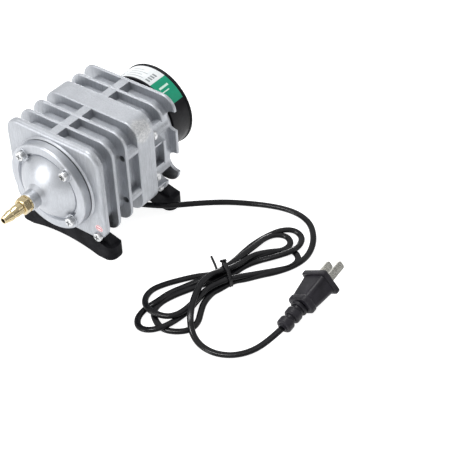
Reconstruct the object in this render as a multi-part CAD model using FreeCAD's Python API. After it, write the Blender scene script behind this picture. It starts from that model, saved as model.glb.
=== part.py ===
"""Electromagnetic piston air pump for ponds and aquariums.

The pump's axis lies along Y. The outlet nozzle points to -Y, the silencer cap faces +Y, +X is the
pump's right side and Z is up from the surface that the feet stand on. All sizes are millimetres.
"""
import FreeCAD, Part
import math
import os

Vec = FreeCAD.Vector
AXIS_X, AXIS_Y, AXIS_DIR_Z = Vec(1, 0, 0), Vec(0, 1, 0), Vec(0, 0, 1)

# ---- Driving dimensions ---------------------------------------------------------------------
PUMP_Z = 58.0                    # height of the pump's axis
FIN_W, FIN_H, FIN_R = 90.0, 79.6, 12.2
FIN_T = 2.7
CORE_W, CORE_H, CORE_R = 77.0, 66.0, 14.0
CAVITY_W, CAVITY_H, CAVITY_R = 68.0, 57.0, 9.0
RUNNING_FIT = 0.05               # radial clearance of a shaft in its hole

# Stations along the axis, front to back
NOZZLE_TIP_Y = -87.4
HEX_FRONT_Y, NOZZLE_SEAT_Y = -69.5, -62.5
DOME_TOP_Y = -53.5
HEAD_FACE_Y, HEAD_BACK_Y = -41.5, -34.4
COLLAR_Y = -33.6
PLATE_FRONT_Y, PLATE_BACK_Y = -32.4, -26.9
VALVE_PLATE_BACK_Y = -30.6
FIN_2_Y, FIN_3_Y = -15.6, -1.55
MOTOR_FRONT_Y = 1.0
BAND_FRONT_Y, JOINT_Y, BAND_BACK_Y = 11.0, 22.9, 29.4
JOINT_GAP = 0.5
FIN_5_Y, FIN_6_Y = 40.65, 55.1
MOTOR_BACK_Y = 46.0
NECK_BACK_Y, CAP_FRONT_Y, CAP_BACK_Y = 64.0, 64.8, 87.4
REAR_FACE_Y = FIN_6_Y + FIN_T / 2

# Cylinder head and its screws
HEAD_R, DOME_R, GROOVE_R = 35.9, 25.5, 28.8
HEAD_Z = PUMP_Z - 0.7
GASKET_R, CHAMBER_R = 34.9, 21.0
HEAD_SCREW_PCD_R = 29.8
VALVE_PLATE_R = 24.0
BOSS_R = 7.2

# Housing screws, set in half-round hoods at the pump's sides
SIDE_SCREW_X, SIDE_SCREW_Z = 41.0, 19.2
HOOD_X, HOOD_R, HOOD_BORE_R = 43.9, 10.3, 8.8

# Feet
FOOT_HALF_W, FOOT_PAD_H, FOOT_CORNER_R = 47.0, 7.4, 6.4
FOOT_TAB_TOP_Z, FOOT_RAMP_END_Z, FOOT_BAR_TOP_Z = 26.4, 8.6, 17.9
FOOT_TAB_HALF_W, FOOT_BAR_HALF_W, FOOT_BAR_END_Z = 42.0, 24.0, 11.2
ARCH_HALF_SPAN, ARCH_RISE = 33.0, 4.6
FOOT_SCREW_X, FOOT_SCREW_Z = 37.6, 22.4

# Linear motor and cylinder
LINER_R, CYLINDER_R = 18.0, 15.0
PISTON_FRONT_Y, PISTON_BACK_Y = -24.5, -8.5
ROD_R, ROD_BACK_Y = 4.0, 52.0
BUSH_BORE_BACK_Y, BUSH_BACK_Y = 57.0, 63.0
ARMATURE_Y = (13.0, 33.0)
STATOR_Y = (6.0, 40.0)
SPRING_LEN, SPRING_R, WIRE_R = 10.0, 9.0, 0.8

# Mains cord
CORD_D = 5.2
CORD_R = CORD_D / 2
GLAND_START = Vec(1.3, 2.0, 16.9)
GLAND_DIR = Vec(0.72, 0.65, -0.243).normalize()
GLAND_LEN = 26.0
GLAND_SEAT_LEN = 10.0


# ---- Shape helpers --------------------------------------------------------------------------
def cyl_y(radius, y0, y1, x=0.0, z=PUMP_Z):
    """Cylinder along Y from y0 to y1."""
    return Part.makeCylinder(radius, y1 - y0, Vec(x, y0, z), AXIS_Y)


def ring_y(outer, inner, y0, y1, x=0.0, z=PUMP_Z):
    """Flat ring or tube along Y."""
    return cyl_y(outer, y0, y1, x, z).cut(cyl_y(inner, y0 - 1, y1 + 1, x, z))


def cone_y(r0, r1, y0, y1, x=0.0, z=PUMP_Z):
    """Truncated cone along Y, radius r0 at y0 and r1 at y1."""
    return Part.makeCone(r0, r1, y1 - y0, Vec(x, y0, z), AXIS_Y)


def block(x0, x1, y0, y1, z0, z1):
    """Box between two corners."""
    return Part.makeBox(x1 - x0, y1 - y0, z1 - z0, Vec(x0, y0, z0))


def rounded_outline(w, h, r):
    """Closed wire of a rounded rectangle about the origin, in the XY plane."""
    a, b, c = w / 2, h / 2, r * (1 - math.sqrt(0.5))
    edges = []
    corners = ((a, b, 1, 1), (-a, b, -1, 1), (-a, -b, -1, -1), (a, -b, 1, -1))
    ends = []
    for x, y, sx, sy in corners:
        first, last = Vec(x, y - sy * r, 0), Vec(x - sx * r, y, 0)
        if sx * sy < 0:
            first, last = last, first
        ends.append((first, Vec(x - sx * c, y - sy * c, 0), last))
    for i, (first, mid, last) in enumerate(ends):
        edges.append(Part.Arc(first, mid, last).toShape())
        edges.append(Part.LineSegment(last, ends[(i + 1) % 4][0]).toShape())
    return Part.Wire(edges)


def prism_y(w, h, r, y0, y1, x=0.0, z=PUMP_Z):
    """Rounded rectangle, w along X and h along Z, extruded from y0 to y1."""
    face = Part.Face(rounded_outline(w, h, r))
    face.rotate(Vec(0, 0, 0), AXIS_X, 90)
    face.translate(Vec(x, y0, z))
    return face.extrude(Vec(0, y1 - y0, 0))


def prism_z(w, d, r, z0, z1, x, y):
    """Rounded rectangle, w along X and d along Y, extruded from z0 to z1."""
    face = Part.Face(rounded_outline(w, d, r))
    face.translate(Vec(x, y, z0))
    return face.extrude(Vec(0, 0, z1 - z0))


def rim_edges(shape, y):
    """Edges that lie in the plane at this Y."""
    return [e for e in shape.Edges if all(abs(v.Y - y) < 1e-6 for v in e.Vertexes)
            and abs(e.CenterOfMass.y - y) < 1e-6]


def fin(y_mid, thickness=FIN_T, edge_r=0.8):
    """One square cooling fin with softened rims."""
    y0, y1 = y_mid - thickness / 2, y_mid + thickness / 2
    plate = prism_y(FIN_W, FIN_H, FIN_R, y0, y1)
    return plate.makeFillet(edge_r, rim_edges(plate, y0) + rim_edges(plate, y1))


def slab(y0, y1, front_r=0.0, back_r=0.0):
    """Thick full-size plate with its own rim radius at each end; 0 leaves an end sharp."""
    plate = prism_y(FIN_W, FIN_H, FIN_R, y0, y1)
    if front_r:
        plate = plate.makeFillet(front_r, rim_edges(plate, y0))
    if back_r:
        plate = plate.makeFillet(back_r, rim_edges(plate, y1))
    return plate


def revolve_y(profile, z=PUMP_Z):
    """Solid of revolution about the Y axis line at x = 0; profile is a list of (radius, y)."""
    points = [Vec(r, y, z) for r, y in profile]
    face = Part.Face(Part.makePolygon(points + [points[0]]))
    return face.revolve(Vec(0, 0, z), AXIS_Y, 360)


def fuse(shapes):
    """One solid from overlapping solids."""
    return shapes[0].multiFuse(shapes[1:]).removeSplitter()


def cut(shape, tools):
    """Shape with every tool taken away."""
    return shape.cut(tools).removeSplitter()


def mirrored(points):
    """The four places (+-x, +-z) of a pattern about the pump's axis."""
    x, z = points
    return [(sx * x, PUMP_Z + sz * z) for sz in (1, -1) for sx in (1, -1)]


def pan_screw(head_r, head_h, shank_r, length, x, head_y, z, towards=1):
    """Pan-head screw along Y with a cross recess; head_y is the seat, towards is the shank's way."""
    head = cyl_y(head_r, -head_h, 0, 0, 0)
    head = head.makeFillet(head_h * 0.55, rim_edges(head, -head_h))
    shank = cyl_y(shank_r, 0, length, 0, 0)
    slot_w, slot_l, slot_d = head_r * 0.26, head_r * 1.25, head_h * 0.6
    recess = [block(-slot_l / 2, slot_l / 2, -head_h - 1, -head_h + slot_d, -slot_w / 2, slot_w / 2),
              block(-slot_w / 2, slot_w / 2, -head_h - 1, -head_h + slot_d, -slot_l / 2, slot_l / 2)]
    screw = cut(fuse([head, shank]), recess)
    if towards < 0:
        screw.rotate(Vec(0, 0, 0), AXIS_DIR_Z, 180)
    screw.translate(Vec(x, head_y, z))
    return screw


def split_washer(outer, inner, y0, y1, x, z):
    """Spring washer: a flat ring with one narrow split."""
    return cut(ring_y(outer, inner, y0, y1, x, z),
               [block(x - 0.4, x + 0.4, y0 - 1, y1 + 1, z, z + outer + 1)])


def save(name, shape):
    """Write one node's STEP file and report its volume."""
    shape.exportStep(os.path.join("parts", name + ".step"))
    print("%-24s solids %2d  volume %9.1f mm3  valid %s"
          % (name, len(shape.Solids), shape.Volume, shape.isValid()))


# ---- Castings -------------------------------------------------------------------------------
SPINE_X = (-5.3, 2.1)
RIB_DRAFT = 1.2
HEAD_SCREW_STEP = HEAD_SCREW_PCD_R * math.sqrt(0.5)
HEAD_SCREW_PLACES = [(sx * HEAD_SCREW_STEP, HEAD_Z + sz * HEAD_SCREW_STEP)
                     for sz in (1, -1) for sx in (1, -1)]
SIDE_SCREW_PLACES = mirrored((SIDE_SCREW_X, SIDE_SCREW_Z))
FOOT_SCREW_PLACES = [(FOOT_SCREW_X, FOOT_SCREW_Z), (-FOOT_SCREW_X, FOOT_SCREW_Z)]


def spine(y0, y1):
    """Rib along the top of the body, level with the fins."""
    low, high = PUMP_Z + CORE_H / 2 - 1, PUMP_Z + FIN_H / 2 - 0.4
    left, right = SPINE_X
    profile = [(left, low), (left, high), (right, high), (right + RIB_DRAFT, low + 1), (right + RIB_DRAFT, low)]
    points = [Vec(x, y0, z) for x, z in profile]
    return Part.Face(Part.makePolygon(points + [points[0]])).extrude(Vec(0, y1 - y0, 0))


def gland_boss():
    """Thick block under the front casting that holds the cord's gland."""
    body = block(-8.5, 5.5, FIN_3_Y - FIN_T / 2, BAND_FRONT_Y + 0.2, 10.5,
                 PUMP_Z - CORE_H / 2 + 1)
    corners = [e for e in body.Edges if abs(e.BoundBox.ZLength) < 1e-6 and e.BoundBox.ZMin < 11]
    return body.makeFillet(2.0, corners)


def front_housing():
    solids = [slab(PLATE_FRONT_Y, PLATE_BACK_Y, 2.6, 0.8), fin(FIN_2_Y), fin(FIN_3_Y),
              slab(BAND_FRONT_Y, JOINT_Y, 0.9, 0.0),
              prism_y(CORE_W, CORE_H, CORE_R, PLATE_FRONT_Y + 3, JOINT_Y),
              cone_y(36.2, 37.6, COLLAR_Y, PLATE_FRONT_Y, z=HEAD_Z),
              spine(PLATE_FRONT_Y + 3, JOINT_Y - 1), gland_boss()]
    for x, z in SIDE_SCREW_PLACES:
        solids.append(cyl_y(3.9, FIN_3_Y, BAND_FRONT_Y + 1, x, z))
        inner = x - math.copysign(5.0, x)
        solids.append(block(min(x, inner), max(x, inner), FIN_3_Y, BAND_FRONT_Y + 1, z - 3.9, z + 3.9))
    body = fuse(solids)
    tools = [cyl_y(VALVE_PLATE_R + RUNNING_FIT, COLLAR_Y - 1, VALVE_PLATE_BACK_Y),
             cyl_y(LINER_R + RUNNING_FIT, VALVE_PLATE_BACK_Y - 1, MOTOR_FRONT_Y + 1),
             prism_y(CAVITY_W, CAVITY_H, CAVITY_R, MOTOR_FRONT_Y, JOINT_Y + 1)]
    tools += [cyl_y(2.0 + RUNNING_FIT, COLLAR_Y - 1, -19.0, x, z) for x, z in HEAD_SCREW_PLACES]
    tools += [cyl_y(2.5 + RUNNING_FIT, FIN_3_Y - 2, JOINT_Y + 1, x, z) for x, z in SIDE_SCREW_PLACES]
    tools += [cyl_y(2.0 + RUNNING_FIT, PLATE_FRONT_Y - 1, PLATE_BACK_Y + 1, x, z)
              for x, z in FOOT_SCREW_PLACES]
    tools.append(Part.makeCylinder(3.6 + RUNNING_FIT, 12.0, GLAND_START - GLAND_DIR * 0.5, GLAND_DIR))
    tools.append(Part.makeCylinder(3.0, 20.0, Vec(-2.5, 5.0, 13.5), AXIS_DIR_Z))
    return cut(body, tools)


def hood(x, z):
    """Half-round wall round a housing screw, between the band and the next fin."""
    wall = cyl_y(HOOD_R, BAND_BACK_Y - 0.5, FIN_5_Y, math.copysign(HOOD_X, x), z)
    limit = block(-FIN_W / 2 + 1.2, FIN_W / 2 - 1.2, BAND_BACK_Y - 1, REAR_FACE_Y, 0, 2 * PUMP_Z)
    return wall.common(limit)


def hood_bore(x, z):
    """Screwdriver way inside a hood, open to the side and right through the two rear fins."""
    side = math.copysign(1.0, x)
    hole = cyl_y(HOOD_BORE_R, BAND_BACK_Y, REAR_FACE_Y + 1, side * HOOD_X, z)
    way = block(min(side * HOOD_X, side * 60), max(side * HOOD_X, side * 60), BAND_BACK_Y,
                REAR_FACE_Y + 1, z - HOOD_BORE_R, z + HOOD_BORE_R)
    return fuse([hole, way])


def rear_housing():
    front = JOINT_Y + JOINT_GAP
    solids = [slab(front, BAND_BACK_Y, 0.0, 0.9), fin(FIN_5_Y), fin(FIN_6_Y),
              prism_y(CORE_W, CORE_H, CORE_R, front, REAR_FACE_Y - 0.5),
              cyl_y(32.6, REAR_FACE_Y - 1, NECK_BACK_Y), spine(front + 1, REAR_FACE_Y - 1)]
    solids += [hood(x, z) for x, z in SIDE_SCREW_PLACES]
    body = fuse(solids)
    tools = [prism_y(CAVITY_W, CAVITY_H, CAVITY_R, front - 1, MOTOR_BACK_Y),
             cyl_y(7.0 + RUNNING_FIT, MOTOR_BACK_Y - 1, NECK_BACK_Y + 1)]
    tools += [hood_bore(x, z) for x, z in SIDE_SCREW_PLACES]
    tools += [cyl_y(2.5 + RUNNING_FIT, front - 1, BAND_BACK_Y + 1, x, z) for x, z in SIDE_SCREW_PLACES]
    tools += [cyl_y(2.0 + RUNNING_FIT, FIN_5_Y - 2, FIN_5_Y + 2, x, z) for x, z in FOOT_SCREW_PLACES]
    tools += [cyl_y(4.2, MOTOR_BACK_Y - 1, NECK_BACK_Y + 1, x, z) for x, z in mirrored((14.5, 14.5))]
    return cut(body, tools)


def housing_gasket():
    """Thin sheet gasket between the two castings."""
    y0, y1 = JOINT_Y, JOINT_Y + JOINT_GAP
    sheet = prism_y(FIN_W - 1.2, FIN_H - 1.2, FIN_R - 0.6, y0, y1)
    tools = [prism_y(CAVITY_W, CAVITY_H, CAVITY_R, y0 - 1, y1 + 1)]
    tools += [cyl_y(2.8, y0 - 1, y1 + 1, x, z) for x, z in SIDE_SCREW_PLACES]
    return cut(sheet, tools)


def dome_radius():
    """Sphere radius of the head's dome, from its base circle and height."""
    rise = HEAD_FACE_Y - DOME_TOP_Y
    return (DOME_R ** 2 + rise ** 2) / (2 * rise)


def cylinder_head():
    wall, sphere_r = 3.0, dome_radius()
    centre = Vec(0, DOME_TOP_Y + sphere_r, HEAD_Z)
    rim = cyl_y(HEAD_R, HEAD_FACE_Y, HEAD_BACK_Y, z=HEAD_Z)
    rim = rim.makeFillet(1.4, rim_edges(rim, HEAD_FACE_Y))
    groove = revolve_y([(DOME_R - 2.5, HEAD_FACE_Y - 1), (GROOVE_R + 0.3, HEAD_FACE_Y - 1),
                        (GROOVE_R, HEAD_FACE_Y), (GROOVE_R - 1.2, HEAD_FACE_Y + 2.0),
                        (DOME_R - 2.5, HEAD_FACE_Y + 2.0)], HEAD_Z)
    dome = Part.makeSphere(sphere_r, centre).common(
        cyl_y(DOME_R + 0.9, DOME_TOP_Y - 1, HEAD_FACE_Y + 2.2, z=HEAD_Z))
    boss = fuse([cyl_y(BOSS_R, NOZZLE_SEAT_Y, DOME_TOP_Y + 4, z=HEAD_Z),
                 cone_y(BOSS_R, BOSS_R + 3.2, DOME_TOP_Y - 1.6, DOME_TOP_Y + 2.4, z=HEAD_Z)])
    boss = boss.makeFillet(0.8, rim_edges(boss, NOZZLE_SEAT_Y))
    pads = []
    for x, z in HEAD_SCREW_PLACES:
        pad = cyl_y(5.6, HEAD_FACE_Y - 0.5, HEAD_FACE_Y + 2.5, x, z)
        pads.append(pad.makeFillet(0.4, rim_edges(pad, HEAD_FACE_Y - 0.5)))
    body = fuse([rim.cut(groove), dome, boss] + pads)
    chamber = fuse([
        Part.makeSphere(sphere_r - wall, centre).common(
            cyl_y(CHAMBER_R, DOME_TOP_Y - 1, HEAD_FACE_Y + 4, z=HEAD_Z)),
        cyl_y(CHAMBER_R, HEAD_FACE_Y + 2, HEAD_BACK_Y + 1, z=HEAD_Z)])
    tools = [chamber, cyl_y(4.5 + RUNNING_FIT, NOZZLE_SEAT_Y - 1, NOZZLE_SEAT_Y + 9.5, z=HEAD_Z),
             cyl_y(3.0, NOZZLE_SEAT_Y, DOME_TOP_Y + 8, z=HEAD_Z)]
    tools += [cyl_y(2.0 + RUNNING_FIT, HEAD_FACE_Y - 2, HEAD_BACK_Y + 1, x, z)
              for x, z in HEAD_SCREW_PLACES]
    return cut(body, tools)


def head_gasket():
    ring = ring_y(GASKET_R, CHAMBER_R, HEAD_BACK_Y, COLLAR_Y, z=HEAD_Z)
    return cut(ring, [cyl_y(2.4, HEAD_BACK_Y - 1, COLLAR_Y + 1, x, z) for x, z in HEAD_SCREW_PLACES])


def silencer_cap():
    """Cup over the pump's rear end, with a rim bead and a ring of inlet slots in its back."""
    outer_r, wall = 34.2, 2.4
    shell = cyl_y(outer_r, CAP_FRONT_Y, CAP_BACK_Y - 1.4)
    bead = cyl_y(34.9, CAP_BACK_Y - 3.4, CAP_BACK_Y - 0.6)
    bead = bead.makeFillet(1.1, rim_edges(bead, CAP_BACK_Y - 3.4) + rim_edges(bead, CAP_BACK_Y - 0.6))
    back = cyl_y(32.0, CAP_BACK_Y - 2.4, CAP_BACK_Y)
    back = back.makeFillet(1.0, rim_edges(back, CAP_BACK_Y))
    post = fuse([cyl_y(5.0, CAP_FRONT_Y + 1.0, CAP_BACK_Y - 2),
                 cyl_y(7.5, CAP_BACK_Y - 6.0, CAP_BACK_Y - 1)])
    hollow = cyl_y(outer_r - wall, CAP_FRONT_Y - 1, CAP_BACK_Y - wall - 0.6)
    body = fuse([fuse([shell, bead, back]).cut(hollow), post])
    tools = [cyl_y(2.0 + RUNNING_FIT, CAP_FRONT_Y, CAP_BACK_Y + 1),
             cyl_y(5.0, CAP_BACK_Y - 2.8, CAP_BACK_Y + 1)]
    slots = 16
    for i in range(slots):
        slot = block(14.0, 25.0, CAP_BACK_Y - 5, CAP_BACK_Y + 1, PUMP_Z - 1.3, PUMP_Z + 1.3)
        slot.rotate(Vec(0, 0, PUMP_Z), AXIS_Y, 360.0 * i / slots)
        tools.append(slot)
    return cut(body, tools)


LABEL_ANGLES = (-62.0, 56.5)      # degrees from straight up, towards +X


def label():
    """Printed wrap-round label on the upper part of the silencer cap."""
    band = ring_y(34.35, 34.2, CAP_FRONT_Y + 1.4, CAP_BACK_Y - 4.0)
    first, last, steps, reach = LABEL_ANGLES[0], LABEL_ANGLES[1], 4, 60.0
    points = [Vec(0, CAP_FRONT_Y, PUMP_Z)]
    for i in range(steps + 1):
        angle = math.radians(first + (last - first) * i / steps)
        points.append(Vec(reach * math.sin(angle), CAP_FRONT_Y, PUMP_Z + reach * math.cos(angle)))
    fan = Part.Face(Part.makePolygon(points + [points[0]])).extrude(Vec(0, 30, 0))
    return band.common(fan).removeSplitter()


# ---- Valves, cylinder and moving parts ------------------------------------------------------
REED_T, REED_GAP = 0.3, 0.1
PORT_PLACES = [(-4.5, 6.0), (0.0, 7.0), (4.5, 6.0)]


def valve_plate():
    body = cyl_y(VALVE_PLATE_R, COLLAR_Y, VALVE_PLATE_BACK_Y)
    tools = [cyl_y(1.6, COLLAR_Y - 1, VALVE_PLATE_BACK_Y + 1, x, PUMP_Z + z) for x, z in PORT_PLACES]
    tools.append(cyl_y(1.5 + RUNNING_FIT, COLLAR_Y - 1, VALVE_PLATE_BACK_Y + 1, 0, PUMP_Z - 8))
    return cut(body, tools)


def outlet_reed():
    """Spring-steel flap over the outlet ports; it bends at its lower end."""
    y1 = COLLAR_Y - REED_GAP
    flap = prism_y(16.0, 14.8, 3.0, y1 - REED_T, y1, 0, PUMP_Z + 3.4)
    return flap


def outlet_reed_stop():
    """Thick plate that clamps the reed's root and limits its opening."""
    y1 = COLLAR_Y
    root = block(-7.0, 7.0, y1 - 1.2, y1, PUMP_Z - 12.0, PUMP_Z - 4.4)
    arm = block(-4.0, 4.0, y1 - 3.6, y1 - 2.6, PUMP_Z - 4.8, PUMP_Z + 8.0)
    link = block(-4.0, 4.0, y1 - 3.6, y1 - 1.0, PUMP_Z - 7.0, PUMP_Z - 4.6)
    arm = cut(fuse([root, arm, link]), [cyl_y(1.5 + RUNNING_FIT, y1 - 5, y1 + 1, 0, PUMP_Z - 8)])
    return cut(arm, [cyl_y(2.9, y1 - 5, y1 - 1.2, 0, PUMP_Z - 8)])


def cylinder_liner():
    return ring_y(LINER_R, CYLINDER_R, VALVE_PLATE_BACK_Y, MOTOR_FRONT_Y)


def piston():
    """Cup piston, open to the rear, with four inlet ports through its crown."""
    body = cyl_y(CYLINDER_R - 0.4, PISTON_FRONT_Y, PISTON_BACK_Y)
    hub_r = ROD_R + 3.0
    tools = [ring_y(CYLINDER_R - 2.6, hub_r, PISTON_FRONT_Y + 3.0, PISTON_BACK_Y + 1),
             cyl_y(ROD_R + RUNNING_FIT, PISTON_FRONT_Y + 3.0, PISTON_BACK_Y + 1),
             ring_y(CYLINDER_R + 1, CYLINDER_R - 1.4, PISTON_FRONT_Y + 4.0, PISTON_FRONT_Y + 10.0),
             cyl_y(1.5 + RUNNING_FIT, PISTON_FRONT_Y - 1, PISTON_FRONT_Y + 4, 0, PUMP_Z - 9.0)]
    tools += [cyl_y(1.6, PISTON_FRONT_Y - 1, PISTON_FRONT_Y + 4, x, PUMP_Z + z)
              for x, z in ((-5.0, 7.5), (5.0, 7.5), (0.0, 9.2))]
    return cut(body, tools)


def piston_ring():
    """PTFE ring in the piston's groove."""
    return ring_y(CYLINDER_R - RUNNING_FIT, CYLINDER_R - 1.4, PISTON_FRONT_Y + 4.0,
                  PISTON_FRONT_Y + 10.0)


def intake_reed():
    """Spring-steel flap over the ports in the piston's crown."""
    y1 = PISTON_FRONT_Y - REED_GAP
    return prism_y(14.0, 15.6, 3.0, y1 - REED_T, y1, 0, PUMP_Z + 3.6)


def piston_rod():
    """Rod from the piston through the armature into the rear guide bush."""
    return cyl_y(ROD_R, PISTON_FRONT_Y + 3.0, ROD_BACK_Y)


def armature_core():
    """Laminated block that carries the magnets, with a bore for the rod."""
    y0, y1 = ARMATURE_Y
    body = block(-10.5, 10.5, y0, y1, PUMP_Z - 17, PUMP_Z + 17)
    return cut(body, [cyl_y(ROD_R + RUNNING_FIT, y0 - 1, y1 + 1)])


def armature_magnets():
    """Four flat magnets, two on each side of the armature."""
    y0, y1 = ARMATURE_Y
    middle, gap = (y0 + y1) / 2, 1.0
    plates = []
    for x0 in (-13.0, 10.5):
        for a, b in ((y0, middle - gap), (middle + gap, y1)):
            plates.append(block(x0, x0 + 2.5, a, b, PUMP_Z - 16, PUMP_Z + 16))
    return Part.makeCompound(plates)


def return_spring(y0):
    """Close helix of round wire about the rod, with a length of SPRING_LEN."""
    pitch = (SPRING_LEN - 2 * WIRE_R) / 3.0
    path = Part.makeLongHelix(pitch, SPRING_LEN - 2 * WIRE_R, SPRING_R, 0)
    start = Vec(SPRING_R, 0, 0)
    circle = Part.Wire(Part.makeCircle(WIRE_R, start, AXIS_Y))
    coil = Part.Wire(path).makePipeShell([circle], True, True)
    coil.rotate(Vec(0, 0, 0), AXIS_X, -90)
    coil.translate(Vec(0, y0 + WIRE_R, PUMP_Z))
    return coil


def spring_seat():
    """Pierced plate behind the liner that the front spring bears on."""
    y0 = MOTOR_FRONT_Y
    plate = cyl_y(25.0, y0, y0 + 2.0)
    tools = [cyl_y(ROD_R + 1.0, y0 - 1, y0 + 3)]
    tools += [cyl_y(3.0, y0 - 1, y0 + 3, x, z) for x, z in mirrored((9.5, 9.5))]
    return cut(plate, tools)


def guide_bush():
    """Rear bush for the rod; its flange carries the rear spring, its end takes the cap's screw."""
    body = fuse([cyl_y(10.6, MOTOR_BACK_Y - 3.0, MOTOR_BACK_Y),
                 cyl_y(7.0, MOTOR_BACK_Y - 1.0, BUSH_BACK_Y)])
    return cut(body, [cyl_y(ROD_R + RUNNING_FIT, MOTOR_BACK_Y - 5, BUSH_BORE_BACK_Y),
                      cyl_y(2.0 + RUNNING_FIT, BUSH_BORE_BACK_Y + 1.5, BUSH_BACK_Y + 1)])


def stator_core(side):
    """E-shaped lamination stack, its three legs towards the armature."""
    y0, y1 = STATOR_Y
    z0, z1 = PUMP_Z - 17, PUMP_Z + 17
    legs = [(y0, y0 + 6), (y0 + 11, y1 - 11), (y1 - 6, y1)]
    solids = [block(27, CAVITY_W / 2, y0, y1, z0, z1)] + [block(14, 28, a, b, z0, z1) for a, b in legs]
    core = fuse(solids)
    return core if side > 0 else core.mirror(Vec(0, 0, 0), AXIS_X)


def coil_frame(x0, x1, inset, spread):
    """Rectangular ring round a stator's centre leg, between two X planes."""
    y0, y1 = STATOR_Y
    z0, z1 = PUMP_Z - 17, PUMP_Z + 17
    inner = block(x0 - 1, x1 + 1, y0 + 11 - inset, y1 - 11 + inset, z0 - inset, z1 + inset)
    outer = block(x0, x1, y0 + 11 - spread, y1 - 11 + spread, z0 - spread, z1 + spread)
    return outer.cut(inner)


def bobbin(side):
    """Moulded bobbin: a thin sleeve with two flanges."""
    shape = fuse([coil_frame(15.0, 26.5, 0.1, 1.0), coil_frame(15.0, 16.0, 0.1, 4.8),
                  coil_frame(25.5, 26.5, 0.1, 4.8)])
    return shape if side > 0 else shape.mirror(Vec(0, 0, 0), AXIS_X)


def winding(side):
    """Copper winding as one closed block."""
    shape = coil_frame(16.1, 25.4, 1.1, 4.4)
    return shape if side > 0 else shape.mirror(Vec(0, 0, 0), AXIS_X)


def terminal_block():
    """Two-way terminal block on the motor chamber's floor."""
    floor_z = PUMP_Z - CAVITY_H / 2
    body = block(-9, 9, 9.5, 19.5, floor_z, floor_z + 7.5)
    wells = [Part.makeCylinder(1.9, 5, Vec(x, y, floor_z + 4), AXIS_DIR_Z)
             for x in (-4.5, 4.5) for y in (12.2, 16.8)]
    return cut(body, wells)


# ---- Feet, fasteners and fittings -----------------------------------------------------------
def symmetric_bar(points, y0, y1):
    """Polygon of (x, z) points with x > 0, closed by their mirror images, extruded in Y."""
    ring = [Vec(x, y0, z) for x, z in points]
    ring += [Vec(-x, y0, z) for x, z in reversed(points)]
    return Part.Face(Part.makePolygon(ring + [ring[0]])).extrude(Vec(0, y1 - y0, 0))


def foot(y0, tab_y, y1):
    """Moulded foot from y0 to y1: arched bar with sloping ends, and two gussets that stand against
    a casting's face at tab_y and slope down to the foot's rear edge."""
    side = FOOT_HALF_W
    bar = symmetric_bar([(FOOT_BAR_HALF_W, FOOT_BAR_TOP_Z), (side, FOOT_BAR_END_Z),
                         (side, 0)], y0, y1)
    draft = (side - 1.2 - FOOT_TAB_HALF_W) / FOOT_TAB_TOP_Z
    gusset = symmetric_bar([(FOOT_TAB_HALF_W, FOOT_TAB_TOP_Z),
                            (FOOT_TAB_HALF_W + draft * (FOOT_TAB_TOP_Z - 3), 3)], tab_y, y1)
    tips = [e for e in gusset.Edges if e.BoundBox.XLength < 1e-6 and e.BoundBox.ZMin > 20]
    gusset = gusset.makeFillet(1.6, tips)
    body = fuse([bar, gusset]).common(
        prism_z(2 * side, y1 - y0, FOOT_CORNER_R, 0, 30, 0, (y0 + y1) / 2))
    slope = [Vec(-side - 1, tab_y, FOOT_TAB_TOP_Z), Vec(-side - 1, y1, FOOT_RAMP_END_Z),
             Vec(-side - 1, y1 + 1, FOOT_RAMP_END_Z), Vec(-side - 1, y1 + 1, 40),
             Vec(-side - 1, tab_y, 40)]
    above = Part.Face(Part.makePolygon(slope + [slope[0]])).extrude(Vec(2 * side + 2, 0, 0))
    arch_r = (ARCH_HALF_SPAN ** 2 + ARCH_RISE ** 2) / (2 * ARCH_RISE)
    tools = [above, cyl_y(arch_r, y0 - 1, y1 + 1, 0, ARCH_RISE - arch_r),
             prism_y(CORE_W + 0.8, CORE_H + 0.8, CORE_R, tab_y - 10, y1 + 5),
             block(-28, 28, tab_y - 6, y1 + 1, FOOT_BAR_TOP_Z, 40)]
    tools += [cyl_y(2.0 + RUNNING_FIT, tab_y - 1, tab_y + 8, x, z) for x, z in FOOT_SCREW_PLACES]
    return cut(body, tools)


def foot_screws():
    """Two screws through the front plate and two through the first rear fin."""
    screws = []
    for seat, length in ((PLATE_FRONT_Y, 10.0), (FIN_5_Y - FIN_T / 2, 7.0)):
        for x, z in FOOT_SCREW_PLACES:
            screws.append(pan_screw(3.8, 2.6, 2.0, length, x, seat, z))
    return Part.makeCompound(screws)


def head_screws():
    seat = HEAD_FACE_Y - 0.5 - 1.0
    return Part.makeCompound([pan_screw(3.8, 2.7, 2.0, 21.0, x, seat, z)
                              for x, z in HEAD_SCREW_PLACES])


def head_washers():
    y1 = HEAD_FACE_Y - 0.5
    return Part.makeCompound([split_washer(3.7, 2.1, y1 - 1.0, y1, x, z)
                              for x, z in HEAD_SCREW_PLACES])


def housing_screws():
    seat = BAND_BACK_Y + 1.2
    return Part.makeCompound([pan_screw(4.3, 3.1, 2.5, 26.0, x, seat, z, towards=-1)
                              for x, z in SIDE_SCREW_PLACES])


def housing_washers():
    return Part.makeCompound([split_washer(4.2, 2.6, BAND_BACK_Y, BAND_BACK_Y + 1.2, x, z)
                              for x, z in SIDE_SCREW_PLACES])


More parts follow.
